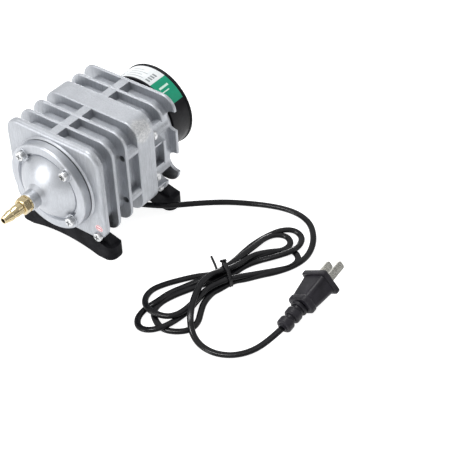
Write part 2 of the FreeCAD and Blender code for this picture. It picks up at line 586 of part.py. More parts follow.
def outlet_nozzle():
    """Brass hose nozzle: thread, collar, hexagon, shank and two barbs."""
    tip, seat, hex_front = NOZZLE_TIP_Y, NOZZLE_SEAT_Y, HEX_FRONT_Y
    profile = [(1.9, tip), (2.7, tip), (4.2, -80.8), (4.2, -79.6), (3.6, -79.6), (4.5, -74.6),
               (4.5, hex_front), (1.9, hex_front)]
    barbs = revolve_y(profile, HEAD_Z)
    collar = ring_y(6.5, 1.9, seat - 1.4, seat, z=HEAD_Z)
    thread = ring_y(4.5, 1.9, seat - 0.5, seat + 8.5, z=HEAD_Z)
    flats = 6
    corner_r = 5.9 / math.cos(math.pi / flats)
    points = [Vec(corner_r * math.cos(2 * math.pi * i / flats), hex_front,
                  HEAD_Z + corner_r * math.sin(2 * math.pi * i / flats)) for i in range(flats)]
    hexagon = Part.Face(Part.makePolygon(points + [points[0]])).extrude(
        Vec(0, seat - 1.4 - hex_front, 0))
    chamfer = fuse([cone_y(5.6, 7.4, hex_front, hex_front + 1.2, z=HEAD_Z),
                    cyl_y(7.4, hex_front + 1.2, seat, z=HEAD_Z)])
    hexagon = cut(hexagon.common(chamfer), [cyl_y(1.9, hex_front - 1, seat, z=HEAD_Z)])
    return fuse([barbs, collar, thread, hexagon])


def filter_disc():
    """Foam filter in the silencer, round the cap's post."""
    return ring_y(31.6, 7.7, CAP_BACK_Y - 13.0, CAP_BACK_Y - 3.2)


def silencer_gasket():
    return ring_y(31.6, 26.0, NECK_BACK_Y, CAP_FRONT_Y)


def silencer_screw():
    """Screw through the cap's back into the rear guide bush."""
    return pan_screw(4.4, 2.8, 2.0, CAP_BACK_Y - 62.0, 0, CAP_BACK_Y - 2.8, PUMP_Z, towards=-1)


# ---- Cord, hank and plug --------------------------------------------------------------------
GLAND_TIP = GLAND_START + GLAND_DIR * GLAND_LEN

# Points of the free cord from the gland to the hank, and from the hank to the plug
RUN_POINTS = [
    (27.8, 23.9, 10.3), (36.0, 28.3, 10.0), (44.7, 34.3, 9.3), (51.9, 42.5, 8.1),
    (58.6, 50.9, 6.7), (65.3, 58.9, 5.3), (72.4, 67.0, 4.0), (80.6, 74.6, 3.0), (91.5, 81.7, 2.6),
    (104.5, 87.9, 2.6), (118.5, 92.4, 2.6), (132.0, 93.0, 2.6), (144.5, 88.4, 2.6),
    (154.5, 78.0, 2.6), (160.8, 66.5, 2.6), (163.6, 54.5, 2.6), (163.4, 44.0, 2.6)]
TAIL_POINTS = [
    (133.2, -48.0, 2.6), (138.4, -56.0, 2.6), (147.4, -61.6, 2.6), (158.4, -63.6, 2.6),
    (169.6, -62.4, 2.6), (179.6, -57.0, 2.7), (187.8, -47.4, 3.1), (192.4, -34.0, 4.6)]
PLUG_BACK = Vec(194.3, -20.5, 6.6)
PLUG_FRONT = Vec(195.3, 28.0, 15.9)
PLUG_ROLL = 33.0
HANK_OUTLINE = [
    (166.0, 42.0), (164.3, 48.0), (158.5, 56.0), (154.0, 66.0), (149.0, 74.5), (139.5, 77.0),
    (130.5, 69.5), (123.5, 60.5), (119.8, 48.5), (118.4, 36.0), (118.8, 22.5), (117.4, 11.5),
    (108.6, -4.5), (99.9, -16.2), (92.6, -27.5), (88.3, -39.0), (91.0, -51.0), (97.3, -61.0),
    (101.0, -70.5), (109.0, -76.0), (118.5, -75.5), (126.5, -68.3), (136.0, -63.5),
    (142.2, -55.0), (141.5, -43.5), (136.0, -33.0), (132.6, -22.0), (133.0, -10.5),
    (136.8, 0.0), (144.5, 10.5), (155.0, 24.0)]
HANK_H = 9.5
TIE_PLACE, TIE_ANGLE, TIE_HALF, TIE_W = (126.75, 5.67), 38.3, 12.4, 4.6


def run_radius(before, corner, after):
    """Arc radius at a corner of the route, from its shorter run and its turn."""
    a, b = corner - before, after - corner
    turn = a.getAngle(b)
    return 0.45 * min(a.Length, b.Length) / math.tan(turn / 2), turn


def cord_path(points):
    """Straight runs joined by tangent arcs, as edges, with the smallest radius used."""
    edges, start, least = [], points[0], 1e9
    for before, corner, after in zip(points, points[1:], points[2:]):
        radius, turn = run_radius(before, corner, after)
        reach = radius * math.tan(turn / 2)
        a = (before - corner).normalize()
        b = (after - corner).normalize()
        first, last = corner + a * reach, corner + b * reach
        middle = (a + b).normalize()
        mid = corner + middle * (radius / math.cos(turn / 2) - radius)
        edges.append(Part.LineSegment(start, first).toShape())
        edges.append(Part.Arc(first, mid, last).toShape())
        start, least = last, min(least, radius)
        print("   radius %6.1f mm  turn %4.1f deg" % (radius, math.degrees(turn)))
    edges.append(Part.LineSegment(start, points[-1]).toShape())
    return Part.Wire(edges), least


def cord_tube(name, points):
    """Round tube along the route, with its length and volume reported."""
    wire, least = cord_path(points)
    direction = points[1] - points[0]
    section = Part.Wire(Part.makeCircle(CORD_R, points[0], direction))
    tube = wire.makePipeShell([section], True, False)
    ideal = math.pi * CORD_R ** 2 * wire.Length
    print("%s: length %.1f mm, least radius %.1f mm, volume %.0f of %.0f mm3"
          % (name, wire.Length, least, tube.Volume, ideal))
    return tube


def cord_gland():
    """Tapered strain relief in the boss, ending where the free cord starts."""
    collar_at = GLAND_SEAT_LEN
    start = GLAND_START
    body = Part.makeCylinder(3.6, collar_at + 3.0, start, GLAND_DIR)
    collar = Part.makeCylinder(4.3, 1.6, start + GLAND_DIR * (collar_at + 1.8), GLAND_DIR)
    sleeve = Part.makeCone(4.1, 3.1, GLAND_LEN - collar_at - 3, start + GLAND_DIR * (collar_at + 3),
                           GLAND_DIR)
    return fuse([body, collar, sleeve])


def hank():
    """Plain closed solid of the tied hank's outer shape, with the tie's seat cut in it."""
    curve = Part.BSplineCurve()
    curve.interpolate([Vec(x, y, 0) for x, y in HANK_OUTLINE], PeriodicFlag=True)
    outer = Part.Face(Part.Wire(curve.toShape())).extrude(Vec(0, 0, HANK_H))
    return outer.cut(cord_tie())


def cord_tie():
    """Tie round the hank's waist: a flat band."""
    x, y = TIE_PLACE
    outer = block(-TIE_HALF, TIE_HALF, -TIE_W / 2, TIE_W / 2, 0.0, HANK_H + 0.7)
    outer = outer.makeFillet(2.0, [e for e in outer.Edges if e.BoundBox.YLength > 1])
    inner = block(1.0 - TIE_HALF, TIE_HALF - 1.0, -TIE_W, TIE_W, 0.8, HANK_H - 0.3)
    inner = inner.makeFillet(1.4, [e for e in inner.Edges if e.BoundBox.YLength > 1])
    band = outer.cut(inner)
    band.rotate(Vec(0, 0, 0), AXIS_DIR_Z, -TIE_ANGLE)
    band.translate(Vec(x, y, 0))
    return band


def place_plug(shape):
    """Move a shape from the plug's own frame to where the plug lies.

    In its own frame the plug points along +X from its strain relief's end, its blades are spaced
    along Y and their width is along Z.
    """
    forward = (PLUG_FRONT - PLUG_BACK).normalize()
    across = forward.cross(AXIS_DIR_Z).normalize()
    up = across.cross(forward)
    roll = math.radians(PLUG_ROLL)
    spacing = across * math.cos(roll) + up * math.sin(roll)
    width = forward.cross(spacing)
    matrix = FreeCAD.Matrix(forward.x, spacing.x, width.x, PLUG_BACK.x,
                            forward.y, spacing.y, width.y, PLUG_BACK.y,
                            forward.z, spacing.z, width.z, PLUG_BACK.z, 0, 0, 0, 1)
    shape.Placement = FreeCAD.Placement(matrix)
    return shape


PLUG_LEN = (PLUG_FRONT - PLUG_BACK).Length
RELIEF_LEN, FLANGE_T = 22.0, 4.0
FLANGE_HALF_SPACING, FLANGE_HALF_WIDTH = 12.6, 10.2


def plug_relief():
    """Ribbed strain relief at the plug's cable end."""
    solids = [Part.makeCone(3.6, 5.0, RELIEF_LEN, Vec(0, 0, 0), AXIS_X)]
    for at, end, radius, edge_r in ((0.8, 8.0, 5.9, 1.8), (10.2, 17.0, 6.2, 1.8),
                                    (18.8, RELIEF_LEN, 6.5, 1.1)):
        rib = Part.makeCylinder(radius, end - at, Vec(at, 0, 0), AXIS_X)
        solids.append(rib.makeFillet(edge_r, [e for e in rib.Edges if e.BoundBox.XLength < 1e-6]))
    return place_plug(fuse(solids))


def plug_body():
    """Rounded tapered grip with a collar at its cable end and a flanged head."""
    sections = []
    stations = ((RELIEF_LEN + 3, 17.6, 13.0), (RELIEF_LEN + 9, 19.4, 14.2),
                (PLUG_LEN - FLANGE_T - 5, 21.6, 15.6), (PLUG_LEN - FLANGE_T, 22.8, 16.6))
    for x, w, h in stations:
        wire = rounded_outline(w, h, 3.6)
        wire.rotate(Vec(0, 0, 0), Vec(1, 1, 1), 120)
        wire.translate(Vec(x, 0, 0))
        sections.append(wire)
    grip = Part.makeLoft(sections, True, False)
    collar = rounded_outline(20.4, 14.8, 4.4)
    collar.rotate(Vec(0, 0, 0), Vec(1, 1, 1), 120)
    collar.translate(Vec(RELIEF_LEN, 0, 0))
    collar = Part.Face(collar).extrude(Vec(5.4, 0, 0))
    collar = collar.makeFillet(1.5, [e for e in collar.Edges if e.BoundBox.XLength < 1e-6])
    flange = Part.makeBox(FLANGE_T, 2 * FLANGE_HALF_SPACING, 2 * FLANGE_HALF_WIDTH,
                          Vec(PLUG_LEN - FLANGE_T, -FLANGE_HALF_SPACING, -FLANGE_HALF_WIDTH))
    flange = flange.makeFillet(2.4, [e for e in flange.Edges if e.BoundBox.XLength > 1])
    flange = flange.makeFillet(0.9, [e for e in flange.Edges if e.BoundBox.XLength < 1e-6])
    return place_plug(fuse([grip, collar, flange]))


def plug_blades():
    """Two flat blades, 12.7 mm apart."""
    blades = []
    for y in (-6.35, 6.35):
        blade = Part.makeBox(17.5, 1.5, 6.3, Vec(PLUG_LEN, y - 0.75, -3.15))
        tips = [e for e in blade.Edges if e.BoundBox.XMin > PLUG_LEN + 17 and e.BoundBox.YLength > 1]
        blades.append(blade.makeFillet(1.8, tips))
    return place_plug(Part.makeCompound(blades))


def inspection_sticker():
    """Small oval paper dot on the front plate, above the right foot screw."""
    dot = Part.Face(Part.Wire(Part.Ellipse(Vec(0, 0, 0), 3.6, 2.9).toShape()))
    dot.rotate(Vec(0, 0, 0), AXIS_X, 90)
    dot.translate(Vec(39.0, PLATE_FRONT_Y, 30.6))
    return dot.extrude(Vec(0, -0.12, 0))


# ---- Build ----------------------------------------------------------------------------------
def build():
    os.makedirs("parts", exist_ok=True)
    save("front_housing", front_housing())
    save("rear_housing", rear_housing())
    save("housing_gasket", housing_gasket())
    save("cylinder_head", cylinder_head())
    save("head_gasket", head_gasket())
    save("head_screws", head_screws())
    save("head_spring_washers", head_washers())
    save("silencer_cap", silencer_cap())
    save("silencer_gasket", silencer_gasket())
    save("silencer_filter", filter_disc())
    save("silencer_screw", silencer_screw())
    save("cap_label", label())
    save("valve_plate", valve_plate())
    save("outlet_reed", outlet_reed())
    save("outlet_reed_stop", outlet_reed_stop())
    save("outlet_reed_screw", pan_screw(2.8, 1.8, 1.5, 3.8, 0, COLLAR_Y - 1.2, PUMP_Z - 8))
    save("cylinder_liner", cylinder_liner())
    save("piston", piston())
    save("piston_ring", piston_ring())
    save("intake_reed", intake_reed())
    save("intake_reed_screw", pan_screw(2.6, 1.2, 1.5, 2.8, 0, PISTON_FRONT_Y, PUMP_Z - 9.0))
    save("piston_rod", piston_rod())
    save("armature_core", armature_core())
    save("armature_magnets", armature_magnets())
    save("front_spring", return_spring(MOTOR_FRONT_Y + 2.0))
    save("rear_spring", return_spring(ARMATURE_Y[1]))
    save("spring_seat", spring_seat())
    save("guide_bush", guide_bush())
    for side, name in ((1, "right"), (-1, "left")):
        save("stator_core_" + name, stator_core(side))
        save("bobbin_" + name, bobbin(side))
        save("winding_" + name, winding(side))
    save("terminal_block", terminal_block())
    save("housing_screws", housing_screws())
    save("housing_spring_washers", housing_washers())
    save("front_foot", foot(-31.1, PLATE_BACK_Y, -15.3))
    save("rear_foot", foot(39.4, FIN_5_Y + FIN_T / 2, 55.4))
    save("foot_screws", foot_screws())
    save("outlet_nozzle", outlet_nozzle())
    save("inspection_sticker", inspection_sticker())
    save("cord_gland", cord_gland())
    print("gland tip", [round(v, 2) for v in GLAND_TIP])
    bundle = hank()
    run = cord_tube("cord_run", [GLAND_TIP] + [Vec(*p) for p in RUN_POINTS])
    tail = cord_tube("cord_tail", [Vec(*p) for p in TAIL_POINTS] + [PLUG_BACK])
    save("cord_run", run.cut(bundle))
    save("cord_tail", tail.cut(bundle))
    save("cord_hank", bundle)
    save("cord_tie", cord_tie())
    save("plug_strain_relief", plug_relief())
    save("plug_body", plug_body())
    save("plug_blades", plug_blades())


build()
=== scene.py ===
"""Looks of the air pump: camera, materials, mains cord, twist tie, joint paper, floor and light.

Lengths are in millimetres up to the point where they are multiplied by MM; Blender works in metres.
"""
import math

import bpy
from mathutils import Matrix, Vector


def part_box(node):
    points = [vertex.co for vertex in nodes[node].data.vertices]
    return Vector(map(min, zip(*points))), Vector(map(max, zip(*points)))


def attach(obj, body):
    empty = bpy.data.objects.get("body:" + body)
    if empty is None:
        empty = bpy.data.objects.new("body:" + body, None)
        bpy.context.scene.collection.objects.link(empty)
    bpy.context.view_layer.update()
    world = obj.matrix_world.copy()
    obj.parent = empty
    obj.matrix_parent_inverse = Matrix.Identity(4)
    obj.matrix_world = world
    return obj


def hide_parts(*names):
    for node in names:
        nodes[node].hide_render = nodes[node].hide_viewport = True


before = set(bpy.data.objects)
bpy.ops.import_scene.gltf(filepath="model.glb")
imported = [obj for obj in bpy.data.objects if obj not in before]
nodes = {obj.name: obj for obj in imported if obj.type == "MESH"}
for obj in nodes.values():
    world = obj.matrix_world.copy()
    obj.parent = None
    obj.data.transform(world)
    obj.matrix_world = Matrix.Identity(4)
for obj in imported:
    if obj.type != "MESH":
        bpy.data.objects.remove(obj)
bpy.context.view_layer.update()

MM = 0.001
PUMP = "pump_body"
PUMP_Z = 58.0                      # height of the pump's long axis
UP = Vector((0, 0, 1))
scene = bpy.context.scene

# ---- Camera, at the photograph's viewing angle -------------------------------------------------
CAM_PLACE = Vector((0.5667, -0.5467, 0.6515))                    # metres
CAM_AZIMUTH, CAM_ELEVATION, CAM_ROLL = 37.991, 40.886, -2.122    # degrees
CAM_LENS, CAM_SENSOR, CAM_NEAR = 100.07, 36.0, 0.01


def add_camera():
    """Camera at CAM_PLACE that looks back along its azimuth and elevation."""
    az, el, roll = (math.radians(a) for a in (CAM_AZIMUTH, CAM_ELEVATION, CAM_ROLL))
    back = Vector((math.sin(az) * math.cos(el), -math.cos(az) * math.cos(el), math.sin(el)))
    right = Vector((math.cos(az), math.sin(az), 0))
    up = back.cross(right)
    x = right * math.cos(roll) + up * math.sin(roll)
    y = up * math.cos(roll) - right * math.sin(roll)
    data = bpy.data.cameras.new("camera")
    data.lens, data.sensor_width, data.clip_start = CAM_LENS, CAM_SENSOR, CAM_NEAR
    camera = bpy.data.objects.new("camera", data)
    scene.collection.objects.link(camera)
    camera.matrix_world = Matrix.Translation(CAM_PLACE) @ Matrix((x, y, back)).transposed().to_4x4()
    scene.camera = camera


add_camera()


# ---- Materials ---------------------------------------------------------------------------------
# The Mix node keeps its colour sockets after its number and vector ones.
MIX_COLOR_A, MIX_COLOR_B, MIX_COLOR_OUT = 6, 7, 2


def shade(color, factor):
    """This colour made lighter or darker."""
    return tuple(min(1, c * factor) for c in color)


class Mat:
    """A small builder of node materials, with one Principled shader."""

    def __init__(self, name, color, rough=0.5, metal=0.0, **sockets):
        self.mat = bpy.data.materials.new(name)
        self.mat.use_nodes = True
        self.nt = self.mat.node_tree
        self.bsdf = self.nt.nodes["Principled BSDF"]
        self.set("Base Color", (*color, 1.0))
        self.set("Roughness", rough)
        self.set("Metallic", metal)
        for key, value in sockets.items():
            self.set(key.replace("_", " "), value)
        self.coord = self.nt.nodes.new("ShaderNodeTexCoord").outputs["Object"]

    def set(self, socket, value):
        self.bsdf.inputs[socket].default_value = value

    def node(self, kind, **props):
        """A new shader node of this kind with these properties."""
        n = self.nt.nodes.new("ShaderNode" + kind)
        for key, value in props.items():
            setattr(n, key, value)
        return n

    def link(self, a, b):
        self.nt.links.new(a, b)

    def noise(self, scale, detail=3.0, rough=0.55, stretch=(1, 1, 1)):
        """Noise with this many features per metre; stretch scales its coordinates."""
        coord = self.coord
        if stretch != (1, 1, 1):
            mapping = self.node("Mapping")
            mapping.inputs["Scale"].default_value = stretch
            self.link(coord, mapping.inputs["Vector"])
            coord = mapping.outputs["Vector"]
        n = self.node("TexNoise")
        n.inputs["Scale"].default_value = scale
        n.inputs["Detail"].default_value = detail
        n.inputs["Roughness"].default_value = rough
        self.link(coord, n.inputs["Vector"])
        return n.outputs["Fac"]

    def grey(self, fac, low, high, start=0.3, end=0.7):
        """Map fac from the range start to end onto low to high."""
        n = self.node("MapRange")
        for key, value in (("From Min", start), ("From Max", end), ("To Min", low), ("To Max", high)):
            n.inputs[key].default_value = value
        self.link(fac, n.inputs["Value"])
        return n.outputs["Result"]

    def mix(self, fac, a, b):
        """Colour from a to b as fac goes from 0 to 1; a and b are sockets or colours."""
        n = self.node("Mix", data_type="RGBA")
        self.link(fac, n.inputs["Factor"])
        for index, value in ((MIX_COLOR_A, a), (MIX_COLOR_B, b)):
            if isinstance(value, bpy.types.NodeSocket):
                self.link(value, n.inputs[index])
            else:
                n.inputs[index].default_value = (*value, 1.0)
        return n.outputs[MIX_COLOR_OUT]

    def math(self, op, a, b=0.0):
        """Result of a Math node; a and b are sockets or numbers."""
        n = self.node("Math", operation=op)
        for socket, value in ((n.inputs[0], a), (n.inputs[1], b)):
            if isinstance(value, bpy.types.NodeSocket):
                self.link(value, socket)
            else:
                socket.default_value = value
        return n.outputs[0]

    def both(self, a, b):
        """Product of two masks."""
        return self.math("MULTIPLY", a, b)

    def between(self, value, low, high):
        """Mask of the places where value lies between low and high."""
        return self.both(self.math("GREATER_THAN", value, low), self.math("LESS_THAN", value, high))

    def place(self):
        """X, Y and Z of the surface, in metres."""
        split = self.node("SeparateXYZ")
        self.link(self.coord, split.inputs[0])
        return split.outputs

    def color(self, socket):
        self.link(socket, self.bsdf.inputs["Base Color"])

    def rough(self, socket):
        self.link(socket, self.bsdf.inputs["Roughness"])

    def bump(self, height, depth_mm):
        """Add a bump on top of the bumps that are there."""
        normal = self.bsdf.inputs["Normal"]
        n = self.node("Bump")
        n.inputs["Strength"].default_value = 1.0
        n.inputs["Distance"].default_value = depth_mm * MM
        self.link(height, n.inputs["Height"])
        if normal.is_linked:
            self.link(normal.links[0].from_socket, n.inputs["Normal"])
        self.link(n.outputs["Normal"], normal)


PATCH_EDGE, PATCH_WAVE = 2.5, 6.0       # width and waviness of a rough patch's edge
PATCH_DEPTH, PATCH_COVER = 0.35, 0.8    # height of its scratches, and how far it hides the rest
PATCH_DARK, PATCH_LIGHT = (0.40, 0.41, 0.42), (0.64, 0.64, 0.64)


def rough_patch(m, finish, middle, radius):
    """Scratch the surface within a radius of a point, and return its finish with the patch in."""
    distance = m.node("VectorMath", operation="DISTANCE")
    distance.inputs[1].default_value = [c * MM for c in middle]
    m.link(m.coord, distance.inputs[0])
    waves = m.math("MULTIPLY", m.noise(150, 2), PATCH_WAVE * MM)
    wavy = m.math("ADD", distance.outputs["Value"], waves)
    near = m.grey(wavy, 1.0, 0.0, radius * MM, (radius + PATCH_EDGE) * MM)
    rubble = m.noise(700, 5, 0.75)
    m.bump(m.both(near, rubble), PATCH_DEPTH)
    pale = m.mix(m.grey(rubble, 0, 1, 0.4, 0.6), PATCH_DARK, PATCH_LIGHT)
    return m.mix(m.math("MULTIPLY", near, PATCH_COVER), finish, pale)


def casting(name, color, rough, metallic, grain_mm=0.03, blotch=0.06, pitting=0.0, patch=None):
    """Die-cast aluminium: blotches, flow marks, mottling, brushed lines, specks and a fine grain.

    blotch is how much the colour varies, pitting the depth of the pitted areas, and patch the
    middle and radius of one rough area.
    """
    m = Mat(name, color, rough, metal=metallic, Specular_IOR_Level=0.4)
    dark, light = shade(color, 1 - 2 * blotch), shade(color, 1 + blotch)
    base = m.mix(m.grey(m.noise(45, 4, 0.6), 0, 1, 0.35, 0.65), dark, light)
    flow = m.grey(m.noise(260, 3, 0.6, (0.12, 1.0, 0.12)), 0.0, 0.45, 0.42, 0.72)
    streaked = m.mix(flow, base, dark)
    mottling = m.grey(m.noise(620, 4, 0.7), 0.0, 8 * blotch, 0.42, 0.62)
    mottled = m.mix(mottling, streaked, dark)
    lines = m.grey(m.noise(950, 3, 0.75, (1, 1, 0.1)), 0.0, 0.9, 0.42, 0.66)
    brushed = m.mix(lines, mottled, shade(color, 1 - 4 * blotch))
    specks = m.grey(m.noise(1500, 2, 0.5), 0.0, 0.5, 0.6, 0.78)
    finish = m.mix(specks, brushed, shade(color, 0.6))
    m.rough(m.grey(m.noise(160, 3), rough - 0.05, rough + 0.08))
    m.bump(m.noise(1300, 3, 0.6), grain_mm)
    m.bump(m.noise(560, 3, 0.65), grain_mm * 2.4)
    if pitting:
        where = m.grey(m.noise(22, 2, 0.5), 0.0, 1.0, 0.52, 0.62)
        m.bump(m.both(where, m.noise(520, 4, 0.7)), pitting)
    m.color(rough_patch(m, finish, *patch) if patch else finish)
    return m.mat


def metal(name, color, rough, brush=(1, 1, 1), scale=700, depth=0.02):
    """Turned or plated metal with slight stains, and fine streaks stretched by brush."""
    m = Mat(name, color, rough, metal=1.0)
    streak = m.noise(scale, 3, 0.6, brush)
    stain = m.noise(120, 3, 0.6)
    m.color(m.mix(m.grey(stain, 0.0, 0.7, 0.45, 0.75), color, shade(color, 0.72)))
    m.rough(m.grey(streak, max(0.05, rough - 0.1), rough + 0.12))
    m.bump(streak, depth)
    return m.mat


def plastic(name, color, rough, grain=600, depth=0.03, vary=0.25, spec=0.5, uneven=0.07):
    """Moulded plastic or rubber: a fine grain and a slightly uneven sheen."""
    m = Mat(name, color, rough, Specular_IOR_Level=spec)
    cloud = m.noise(90, 3, 0.6)
    light = tuple(min(1, c * (1 + vary) + 0.004) for c in color)
    m.color(m.mix(m.grey(cloud, 0, 1, 0.35, 0.65), shade(color, 1 - vary), light))
    m.rough(m.grey(m.noise(220, 4), rough - uneven, rough + uneven * 1.4))
    m.bump(m.noise(grain, 3, 0.6), depth)
    return m.mat


# The label goes round the cap: a bar is from one angle to another, in degrees right of the top, and
# from one Y to another.
LABEL_BARS = [(-52, -30, 69.5, 71.0), (-52, -34, 72.5, 73.2), (-52, -30, 74.2, 74.9),
              (-52, -36, 76.0, 76.7), (8, 15, 68.5, 70.2), (8, 15, 71.2, 72.9), (8, 15, 73.9, 75.6),
              (8, 15, 76.6, 78.3), (-24, 3, 69.0, 69.5), (-24, -2, 72.0, 72.5), (-24, 3, 75.0, 75.5),
              (-24, -6, 78.0, 78.5), (30, 33, 69.5, 79.5), (37, 38.5, 69.5, 77.0)]
LABEL_GREEN_FROM = 20.0
STICKER_X, STICKER_Z = 39.0, 30.6
STICKER_HALF_W, STICKER_HALF_H = 3.6, 2.9
# Shares of the sticker's half size: the ring's two edges, the bar's half height and half length.
STICKER_RING = (0.68, 0.88)
STICKER_BAR_HALF_H, STICKER_BAR_HALF_W = 0.18, 0.6
STICKER_INK_COVER = 0.85


def label_material():
    """White label with a green panel; plain bars stand where print would be."""
    m = Mat("label_print", (0.8, 0.82, 0.82), 0.45, Specular_IOR_Level=0.3)
    x, y, z = m.place()
    angle = m.math("ARCTAN2", x, m.math("SUBTRACT", z, PUMP_Z * MM))
    degrees = m.math("MULTIPLY", angle, 180 / math.pi)
    green = m.math("GREATER_THAN", degrees, LABEL_GREEN_FROM)
    paper = m.mix(m.grey(m.noise(300, 2), 0, 1), (0.62, 0.65, 0.66), (0.68, 0.70, 0.71))
    tint = m.mix(m.grey(m.noise(200, 2), 0, 1), (0.0, 0.235, 0.13), (0.0, 0.27, 0.15))
    bars = None
    for a0, a1, y0, y1 in LABEL_BARS:
        bar = m.both(m.between(degrees, a0, a1), m.between(y, y0 * MM, y1 * MM))
        bars = bar if bars is None else m.math("MAXIMUM", bars, bar)
    ink = m.mix(green, (0.22, 0.24, 0.25), (0.55, 0.72, 0.63))
    m.color(m.mix(bars, m.mix(green, paper, tint), ink))
    m.bump(m.noise(400, 2), 0.01)
    return m.mat


def sticker_material():
    """Pale paper dot with a plain ring and a bar in red ink."""
    m = Mat("sticker_print", (0.8, 0.7, 0.7), 0.5)
    x, _, z = m.place()
    dx = m.math("MULTIPLY", m.math("SUBTRACT", x, STICKER_X * MM), 1 / (STICKER_HALF_W * MM))
    dz = m.math("MULTIPLY", m.math("SUBTRACT", z, STICKER_Z * MM), 1 / (STICKER_HALF_H * MM))
    r = m.math("SQRT", m.math("ADD", m.math("MULTIPLY", dx, dx), m.math("MULTIPLY", dz, dz)))
    bar = m.both(m.math("LESS_THAN", m.math("ABSOLUTE", dz), STICKER_BAR_HALF_H),
                 m.math("LESS_THAN", r, STICKER_BAR_HALF_W))
    ink = m.math("MAXIMUM", m.between(r, *STICKER_RING), bar)
    paper = m.mix(m.grey(m.noise(500, 2), 0, 1), (0.72, 0.58, 0.58), (0.80, 0.70, 0.69))
    m.color(m.mix(m.math("MULTIPLY", ink, STICKER_INK_COVER), paper, (0.45, 0.03, 0.07)))
    m.bump(m.noise(700, 2), 0.01)
    return m.mat


MATERIALS = {
    "casting": casting("cast_aluminium", (0.465, 0.483, 0.515), 0.44, 0.85, pitting=0.12,
                       patch=((43.0, 18.0, 90.0), 10.5)),
    "head": casting("head_aluminium", (0.47, 0.488, 0.52), 0.38, 0.90, 0.012, 0.035),
    "inner": casting("machined_aluminium", (0.60, 0.61, 0.63), 0.35, 0.9, 0.01, 0.04),
    "brass": metal("turned_brass", (0.58, 0.48, 0.29), 0.20, (1, 30, 1), 500, 0.015),
    "screw": metal("zinc_screw", (0.62, 0.63, 0.64), 0.34, scale=900),
    "steel": metal("spring_steel", (0.55, 0.56, 0.58), 0.30),
    "lamination": metal("laminated_iron", (0.30, 0.30, 0.32), 0.45, (1, 40, 1)),
    "magnet": metal("ceramic_magnet", (0.12, 0.12, 0.125), 0.5),
    "copper": metal("enamelled_copper", (0.70, 0.36, 0.20), 0.3, (1, 25, 1)),
    "blade": metal("blade_nickel", (0.70, 0.69, 0.64), 0.24, (1, 1, 6)),
    "rubber": plastic("foot_rubber", (0.009, 0.009, 0.011), 0.60, 500, 0.05, spec=0.05),
    "gasket": plastic("gasket_rubber", (0.012, 0.012, 0.013), 0.55),
    "cap": plastic("cap_plastic", (0.006, 0.006, 0.008), 0.36, 700, 0.02, spec=0.13),
    "white": plastic("white_nylon", (0.80, 0.80, 0.77), 0.45, vary=0.04),
    "foam": plastic("filter_foam", (0.05, 0.05, 0.055), 0.9, 900, 0.5),
    "cord": plastic("cord_pvc", (0.003, 0.003, 0.004), 0.16, 900, 0.002, spec=0.20, uneven=0.02),
    "plug": plastic("plug_pvc", (0.010, 0.009, 0.013), 0.40, 700, 0.03, spec=0.24),
    "tie": plastic("tie_pvc", (0.004, 0.004, 0.005), 0.30, spec=0.22),
    "joint": plastic("joint_paper", (0.40, 0.42, 0.45), 0.6, vary=0.08),
    "label": label_material(),
    "sticker": sticker_material(),
}

NODE_MATERIAL = {
    "casting": ["front_housing", "rear_housing"],
    "head": ["cylinder_head"],
    "inner": ["valve_plate", "piston"],
    "brass": ["outlet_nozzle"],
    "screw": ["head_screws", "head_spring_washers", "housing_screws", "housing_spring_washers",
              "foot_screws", "silencer_screw", "outlet_reed_screw", "intake_reed_screw"],
    "steel": ["outlet_reed", "outlet_reed_stop", "intake_reed", "cylinder_liner", "piston_rod",
              "front_spring", "rear_spring"],
    "lamination": ["stator_core_right", "stator_core_left", "armature_core"],
    "magnet": ["armature_magnets"],
    "copper": ["winding_right", "winding_left"],
    "blade": ["plug_blades"],
    "rubber": ["front_foot", "rear_foot"],
    "gasket": ["head_gasket", "silencer_gasket"],
    "joint": ["housing_gasket"],
    "cap": ["silencer_cap"],
    "white": ["piston_ring", "spring_seat", "guide_bush", "bobbin_right", "bobbin_left",
              "terminal_block"],
    "foam": ["silencer_filter"],
    "cord": ["cord_gland", "cord_run", "cord_tail", "cord_hank"],
    "plug": ["plug_strain_relief", "plug_body"],
    "tie": ["cord_tie"],
    "label": ["cap_label"],
    "sticker": ["inspection_sticker"],
}


def dress(obj, material):
    """Give every material slot of an object this material."""
    if not obj.material_slots:
        obj.data.materials.append(material)
    for s in obj.material_slots:
        s.material = material


for key, names in NODE_MATERIAL.items():
    for name in names:
        dress(nodes[name], MATERIALS[key])


# ---- Mesh helpers ------------------------------------------------------------------------------
def add_mesh(name, verts, faces, material, smooth=True):
    """A piece of the pump's body, with its material and the record's material slot."""
    mesh = bpy.data.meshes.new(name)
    mesh.from_pydata([tuple(v) for v in verts], [], faces)
    mesh.update()
    if smooth:
        mesh.polygons.foreach_set("use_smooth", [True] * len(mesh.polygons))
    obj = bpy.data.objects.new(name, mesh)
    scene.collection.objects.link(obj)
    mesh.materials.append(material)
    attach(obj, PUMP)
    return obj


def spline_points(name, points, samples=12):
    """Points along the smooth NURBS line that has these control points, in metres."""
    data = bpy.data.curves.new(name + "_line", "CURVE")
    data.dimensions = "3D"
    data.resolution_u = samples
    spline = data.splines.new("NURBS")
    spline.points.add(len(points) - 1)
    for p, co in zip(spline.points, points):
        p.co = (*co, 1.0)
    spline.order_u = 3
    spline.use_endpoint_u = True
    obj = bpy.data.objects.new(name + "_line", data)
    scene.collection.objects.link(obj)
    mesh = bpy.data.meshes.new_from_object(obj)
    line = [v.co.copy() for v in mesh.vertices]
    bpy.data.objects.remove(obj)
    bpy.data.curves.remove(data)
    bpy.data.meshes.remove(mesh)
    return line


